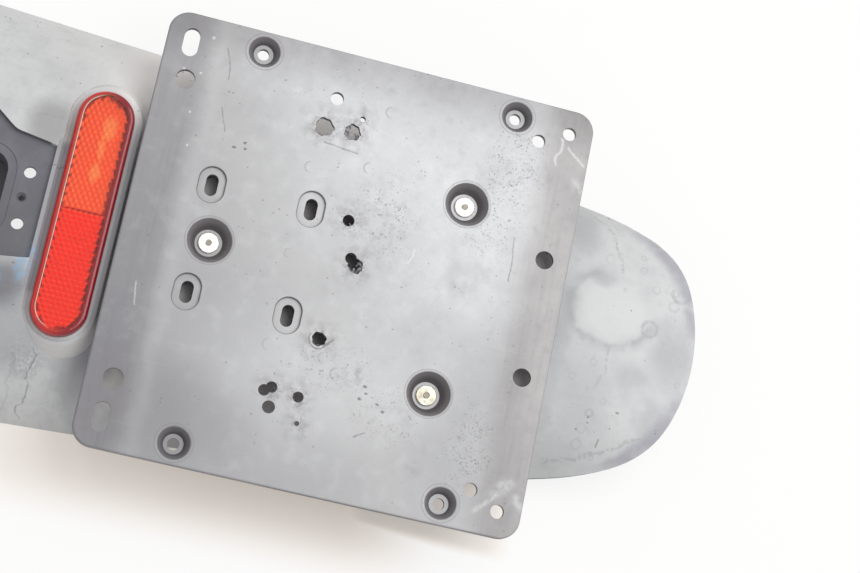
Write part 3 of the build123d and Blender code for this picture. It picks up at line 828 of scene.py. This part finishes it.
    # Walls in plastic that the sun has missed, made darker deeper down as painted shade
    walls = tint(look.wall, look.deep, past(z, FACE_Z - 3.4, -4))
    coat.lay(walls, steep(place, 0.66))
    tree.links.new(coat.colour, shader.inputs["Base Color"])
    uneven_gloss(shader, place, 30, 0.38, 0.54, seed=13)
    grain(shader, place, 0.9, 0.025, seed=14)
    return material


def torn_polypropylene(look):
    """Torn polypropylene: dull and stress-whitened in places."""
    material, tree, shader = new_material("polypropylene_torn", IOR=1.49, Roughness=0.65)
    place = millimetres(tree)
    colour = tint(look.deep, look.dull, clouds(place, 1.6, 0.35, 0.65, seed=25))
    tree.links.new(colour, shader.inputs["Base Color"])
    return material


def clear_acrylic(look):
    """Red acrylic, injection moulded: smooth, glossy and see-through, with a deep red rim and painted
    highlights.
    """
    material, tree, shader = new_material("acrylic_moulded_red", IOR=1.49, Roughness=0.03)
    place = millimetres(tree)
    x, y, z = add_node(tree, "ShaderNodeSeparateXYZ", {0: place}).outputs
    colour = tint(look.lens, look.slanted, past(y, FIELD_SPLIT_Y, 1))
    # Thick rim, painted lighter on the lamp's side and darker on the other, with a painted highlight on its
    # step
    off = oblong_reach(place, (LENS_X, 0), LENS_STRAIGHT)
    broad = both(past(off, LENS_RADIUS - 3.0, 0.5), past(x, LENS_X + 3, 6))
    rim = any_of([past(off, LENS_RADIUS - 1.9, 0.8), broad])
    rim_colour = tint(look.lit_rim, look.dark_rim, past(x, LENS_X, 12))
    inner = both(past(off, LENS_RADIUS - 3.7, 1.4), past(x, LENS_X + 2, 6))
    colour = tint(colour, look.lit_rim, inner, 0.85)
    colour = tint(colour, rim_colour, rim)
    step = between(off, LENS_RADIUS - 2.6, LENS_RADIUS - 2.3, 0.25)
    lit = both(step, both(past(x, LENS_X - 4, -6), past(z, LENS_HIGH.z - 0.4, 0.2)))
    colour = tint(colour, look.glare, lit)
    tree.links.new(colour, shader.inputs["Base Color"])
    solid = any_of([both(rim, 0.8), lit])
    tree.links.new(outside(solid), shader.inputs["Transmission Weight"])
    return material


def prism_acrylic(look, name, axis, soft):
    """Moulded prisms: painted highlight and shade by each face's lean stand in for total reflection's red
    light.
    """
    material, tree, shader = new_material(name, Metallic=1.0, Roughness=0.3)
    place = millimetres(tree)
    normal = add_node(tree, "ShaderNodeNewGeometry").outputs["True Normal"]
    lean = along(normal, (math.cos(axis), math.sin(axis), 0))
    colour = tint(look.deep, look.bright, past(lean, 0.0, soft))
    loose = wandering(place, 5, 4, seed=31)
    # Painted glare in a few patches of the prisms
    colour = tint(colour, look.glare, spots(loose, PRISM_GLARE, 0.9), 0.75)
    tree.links.new(colour, shader.inputs["Base Color"])
    return material


def moulded_back(look):
    """Moulded plate behind the prisms: dull red."""
    material, tree, shader = new_material("polystyrene_moulded_red", IOR=1.55, Roughness=0.5)
    place = millimetres(tree)
    colour = tint(look.back, look.deep, clouds(place, 6, 0.4, 0.7, seed=33), 0.3)
    tree.links.new(colour, shader.inputs["Base Color"])
    return material


def bright_metal(look, name, colour, roughness, stained=None):
    """Metal with fine drawing marks and a little dull bloom, and a stain on one of its pieces."""
    material, tree, shader = new_material(name, Metallic=1.0)
    place = millimetres(tree)
    bloom = clouds(place, 2.5, 0.45, 0.75, seed=21)
    surface = tint(colour, look.bloom, bloom, 0.3)
    if stained is not None:
        stain = both(spot(place, stained, (7, 7), 0.1), clouds(place, 3, 0.25, 0.5, seed=23))
        surface = tint(surface, look.stained, stain, 0.9)
    tree.links.new(surface, shader.inputs["Base Color"])
    uneven_gloss(shader, place, 2.5, roughness, roughness + 0.2, seed=21)
    grain(shader, place, 0.35, 0.015, seed=22)
    return material


def finish_node(node, material):
    """Puts a material on a CAD node."""
    mesh = NODES[node].data
    mesh.materials.clear()
    mesh.materials.append(material)


def add_piece(name, mesh, material):
    """Turns a bmesh in millimetres into an object that rides with the model."""
    bmesh.ops.scale(mesh, vec=(MM, MM, MM), verts=mesh.verts)
    bmesh.ops.recalc_face_normals(mesh, faces=mesh.faces)
    data = bpy.data.meshes.new(name)
    mesh.to_mesh(data)
    mesh.free()
    data.materials.append(material)
    piece = bpy.data.objects.new(name, data)
    bpy.context.scene.collection.objects.link(piece)
    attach(piece, "root")


def islands(node):
    """Middles of a node's separate solids, in millimetres."""
    mesh = bmesh.new()
    mesh.from_mesh(NODES[node].data)
    bmesh.ops.remove_doubles(mesh, verts=mesh.verts, dist=0.001 * MM)
    left = set(mesh.verts)
    middles = []
    while left:
        group = [left.pop()]
        for vert in group:
            for edge in vert.link_edges:
                other = edge.other_vert(vert)
                if other in left:
                    left.remove(other)
                    group.append(other)
        low = Vector([min(v.co[i] for v in group) for i in range(3)])
        high = Vector([max(v.co[i] for v in group) for i in range(3)])
        middles.append((low + high) / 2 / MM)
    mesh.free()
    return middles


def prism_field(look, axis, low_y, high_y):
    """Whole three-sided prisms between two places along the lens, as a closed bmesh.

    The points of a triangular lattice take three heights in turn, so each peak has three faces round it.
    """
    side = look.pitch / MM / math.sqrt(3)
    first = Vector((math.cos(axis), math.sin(axis))) * side
    second = Vector((math.cos(axis + math.pi / 3), math.sin(axis + math.pi / 3))) * side
    top = LENS_HIGH.z - LENS_FACE - PRISM_GAP
    depth = look.depth / MM
    base = top - depth - PRISM_FLOOR

    def point(i, j):
        flat = first * i + second * j
        return Vector((LENS_X + flat.x, (low_y + high_y) / 2 + flat.y))

    def middle_line(place):
        return Vector((LENS_X, max(-LENS_STRAIGHT, min(LENS_STRAIGHT, place.y))))

    def fits(place):
        return (place - middle_line(place)).length < LENS_RADIUS - PRISM_RIM

    def drawn_in(place):
        line = middle_line(place)
        off = place - line
        return line + off * min(1, (LENS_RADIUS - LENS_RIM) / max(off.length, 0.01))

    mesh = bmesh.new()
    tops, feet = {}, {}

    def corner(i, j):
        if (i, j) not in tops:
            place = drawn_in(point(i, j))
            tops[i, j] = mesh.verts.new((place.x, place.y, top - depth * (2 - (i - j) % 3) / 2))
            feet[i, j] = mesh.verts.new((place.x, place.y, base))
        return i, j

    count = int(LENS_HIGH.y / side) + 4
    borders = set()
    for i in range(-count, count):
        for j in range(-count, count):
            if (i - j) % 3 != 2:
                continue
            around = [(i + 1, j), (i, j + 1), (i - 1, j + 1), (i - 1, j), (i, j - 1), (i + 1, j - 1)]
            middle = point(i, j)
            # The field ends in whole prisms on the carrier's side and along the rim on the lamp's side
            tested = [middle] if middle.x < LENS_X else [point(*c) for c in around]
            if not low_y < middle.y < high_y or not all(fits(place) for place in tested):
                continue
            corner(i, j)
            for here, there in zip(around, around[1:] + around[:1]):
                corner(*here)
                corner(*there)
                mesh.faces.new((tops[i, j], tops[here], tops[there]))
                mesh.faces.new((feet[there], feet[here], feet[i, j]))
                if (there, here) in borders:
                    borders.remove((there, here))
                else:
                    borders.add((here, there))
    for here, there in borders:
        mesh.faces.new((tops[there], tops[here], feet[here], feet[there]))
    return mesh


def torn_slivers():
    """Bent slivers of torn plastic at the rims of the carrier's holes, as closed bmesh strips."""
    chance = random.Random(5)
    mesh = bmesh.new()
    for x, y, radius, count, length, middle, spread in BURRS:
        for turn in range(count):
            angle = math.radians(middle + spread * (2 * (turn + chance.random()) / count - 1))
            out = Vector((math.cos(angle), math.sin(angle), 0))
            heading = Matrix.Rotation(chance.uniform(-0.8, 0.8), 3, "Z") @ -out
            side = heading.cross(Vector((0, 0, 1)))
            root = Vector((x, y, FACE_Z - chance.uniform(0.5, 2.2))) + out * (radius + 0.4)
            size = length * chance.uniform(0.6, 1.3) + 0.4
            width = chance.uniform(1.0, 2.4) * min(1.0, radius / 3)
            rise = chance.uniform(-1.6, 0.5)
            curl = chance.uniform(-1.0, 1.0)
            strips = []
            for step in range(SLIVER_STEPS + 1):
                share = step / SLIVER_STEPS
                middle_point = root + heading * size * share + side * curl * share * share
                middle_point.z += rise * share * share
                wide = side * width * (0.5 - 0.38 * share)
                thick = Vector((0, 0, 0.3 - 0.18 * share)) + side * curl * 0.2
                offsets = (-wide - thick, wide - thick, wide + thick, thick - wide)
                corners = [middle_point + offset for offset in offsets]
                for corner in corners:
                    corner.z = min(corner.z, FACE_Z - 0.05)
                strips.append([mesh.verts.new(c) for c in corners])
            for near, far in zip(strips, strips[1:]):
                for k in range(4):
                    mesh.faces.new((near[k], near[(k + 1) % 4], far[(k + 1) % 4], far[k]))
            mesh.faces.new(reversed(strips[0]))
            mesh.faces.new(strips[-1])
    return mesh


class FENDER_OT_shell(Operator):
    """Finish the fender shell in bleached plastic"""

    bl_idname = "fender.shell"
    bl_label = "Fender shell"

    def execute(self, context):
        finish_node("fender_shell", bleached_polypropylene(context.scene.fender_shell))
        return {"FINISHED"}


class FENDER_OT_carrier(Operator):
    """Finish the plate carrier in scuffed plastic and add the torn plastic at its holes"""

    bl_idname = "fender.carrier"
    bl_label = "Plate carrier"

    def execute(self, context):
        look = context.scene.fender_carrier
        finish_node("plate_carrier", scuffed_polypropylene(look))
        add_piece("torn_slivers", torn_slivers(), torn_polypropylene(look))
        return {"FINISHED"}


class FENDER_OT_reflector(Operator):
    """Finish the reflector's lens and back, and add its two fields of prisms"""

    bl_idname = "fender.reflector"
    bl_label = "Reflector"

    def execute(self, context):
        look = context.scene.fender_reflector
        finish_node("reflector_lens", clear_acrylic(look))
        finish_node("reflector_back", moulded_back(look))
        fields = (
            ("prisms_slanted", math.radians(31), FIELD_SPLIT_Y, LENS_HIGH.y, 3.0),
            ("prisms_straight", math.radians(90), LENS_LOW.y, FIELD_SPLIT_Y, 0.9),
        )
        for name, axis, low_y, high_y, soft in fields:
            facets = prism_acrylic(look, "acrylic_moulded_" + name, axis, soft)
            add_piece(name, prism_field(look, axis, low_y, high_y), facets)
        return {"FINISHED"}


class FENDER_OT_fasteners(Operator):
    """Finish the rivets, studs, washers and nuts in metal"""

    bl_idname = "fender.fasteners"
    bl_label = "Fasteners"

    def execute(self, context):
        look = context.scene.fender_fasteners
        stained = max(islands("rivet_bodies"), key=lambda middle: middle.x - middle.y)
        rivet = bright_metal(look, "aluminium_pulled_rivet", look.aluminium, 0.42, stained)
        finish_node("rivet_bodies", rivet)
        finish_node("rivet_mandrels", bright_metal(look, "steel_snapped_mandrel", look.stub, 0.45))
        plated = bright_metal(look, "steel_zinc_plated", look.steel, 0.35)
        for node in ("reflector_studs", "reflector_washers", "reflector_nuts"):
            finish_node(node, plated)
        return {"FINISHED"}


def seen_by_eye(tree):
    """1 for a ray from the camera, a mirror or glass, and 0 for one that carries light to a surface."""
    ray = add_node(tree, "ShaderNodeLightPath")
    return any_of([ray.outputs[f"Is {kind} Ray"] for kind in ("Camera", "Glossy", "Transmission")])


class FENDER_OT_stage(Operator):
    """Set the floor, the light and the camera"""

    bl_idname = "fender.stage"
    bl_label = "Stage"

    def execute(self, context):
        look = context.scene.fender_stage
        scene = context.scene
        scene.view_settings.view_transform = "Standard"
        # Floor that shows white and keeps a soft shadow
        mesh = bpy.data.meshes.new("floor")
        corners = [(x * FLOOR_HALF, y * FLOOR_HALF, 0) for x, y in ((-1, -1), (1, -1), (1, 1), (-1, 1))]
        mesh.from_pydata(corners, [], [(0, 1, 2, 3)])
        floor = bpy.data.objects.new("floor", mesh)
        scene.collection.objects.link(floor)
        material, tree, shader = new_material("floor_board_white", Base_Color=look.floor, Roughness=0.8)
        # The board shows less of its own white, and so more shadow, along the near side of the carrier
        place = millimetres(tree)
        x, y = add_node(tree, "ShaderNodeSeparateXYZ", {0: place}).outputs[:2]
        far_y = CARRIER_LOW.y + 50
        near = between(y, CARRIER_LOW.y - 22, far_y, 30)
        near = both(near, between(x, -190, 118, 90, 60))
        close = between(y, CARRIER_LOW.y - 3, far_y, 8)
        close = both(close, between(x, 84, 174, 44, 16))
        dim = spot(place, SEAT_HOLE_FLOOR, (6, 6), 0.5)
        zones = ((near, NEAR_LESS), (close, CLOSE_LESS), (dim, FLOOR_WHITE))
        less = any_of([both(mask, amount) for mask, amount in zones])
        share = both(seen_by_eye(tree), outside(less, FLOOR_WHITE))
        white = tint(WHITE, look.shade, less, 2.0)
        glow = add_node(tree, "ShaderNodeEmission", {"Color": white, "Strength": 1.0})
        mixed = add_node(tree, "ShaderNodeMixShader", {0: share, 1: shader.outputs[0], 2: glow.outputs[0]})
        tree.links.new(mixed.outputs[0], tree.nodes["Material Output"].inputs["Surface"])
        mesh.materials.append(material)
        # Sky that lights evenly and shows white
        world = bpy.data.worlds.new("studio")
        world.use_nodes = True
        tree = world.node_tree
        strength = add_node(
            tree, "ShaderNodeMapRange", {"Value": seen_by_eye(tree), "To Min": look.sky, "To Max": 1.0}
        )
        tree.links.new(strength.outputs["Result"], tree.nodes["Background"].inputs["Strength"])
        tree.nodes["Background"].inputs["Color"].default_value = WHITE
        scene.world = world
        # One large soft lamp, nearly overhead, a little towards the tip and the far side
        lamp = bpy.data.lights.new("softbox", "AREA")
        lamp.shape = "RECTANGLE"
        lamp.size, lamp.size_y = LAMP_SIZE
        lamp.energy = look.key
        softbox = bpy.data.objects.new("softbox", lamp)
        softbox.location = LAMP_PLACE
        aim = Vector(LAMP_AIM) - softbox.location
        softbox.rotation_euler = aim.to_track_quat("-Z", "Y").to_euler()
        scene.collection.objects.link(softbox)
        # Camera
        data = bpy.data.cameras.new("camera")
        data.sensor_width = 36
        data.lens = look.lens
        camera = bpy.data.objects.new("camera", data)
        away = Vector((
            math.sin(look.azimuth) * math.cos(look.elevation),
            -math.cos(look.azimuth) * math.cos(look.elevation),
            math.sin(look.elevation),
        ))
        turn = (-away).to_track_quat("-Z", "Y").to_matrix().to_4x4() @ Matrix.Rotation(look.roll, 4, "Z")
        camera.matrix_world = Matrix.Translation(Vector(look.target) + away * look.distance) @ turn
        scene.collection.objects.link(camera)
        scene.camera = camera
        return {"FINISHED"}


class FENDER_PT_sidebar(Panel):
    """Buttons that finish the pieces, and their settings"""

    bl_idname = "FENDER_PT_sidebar"
    bl_label = "Rear fender"
    bl_space_type = "VIEW_3D"
    bl_region_type = "UI"
    bl_category = "Fender"

    def draw(self, context):
        for operator in OPERATORS:
            self.layout.operator(operator.bl_idname)
        for group in SETTINGS:
            box = self.layout.box()
            settings = getattr(context.scene, group)
            for name in settings.bl_rna.properties.keys():
                if name not in ("rna_type", "name"):
                    box.prop(settings, name)


SETTINGS = {
    "fender_shell": ShellSettings,
    "fender_carrier": CarrierSettings,
    "fender_reflector": ReflectorSettings,
    "fender_fasteners": FastenerSettings,
    "fender_stage": StageSettings,
}
OPERATORS = (
    FENDER_OT_shell,
    FENDER_OT_carrier,
    FENDER_OT_reflector,
    FENDER_OT_fasteners,
    FENDER_OT_stage,
)


def register():
    for cls in (*SETTINGS.values(), *OPERATORS, FENDER_PT_sidebar):
        bpy.utils.register_class(cls)
    for name, cls in SETTINGS.items():
        setattr(bpy.types.Scene, name, PointerProperty(type=cls))


def unregister():
    for name in SETTINGS:
        delattr(bpy.types.Scene, name)
    for cls in reversed((*SETTINGS.values(), *OPERATORS, FENDER_PT_sidebar)):
        bpy.utils.unregister_class(cls)


def main():
    register()
    bpy.ops.fender.shell()
    bpy.ops.fender.carrier()
    bpy.ops.fender.reflector()
    bpy.ops.fender.fasteners()
    bpy.ops.fender.stage()
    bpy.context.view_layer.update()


if __name__ == "__main__":
    main()
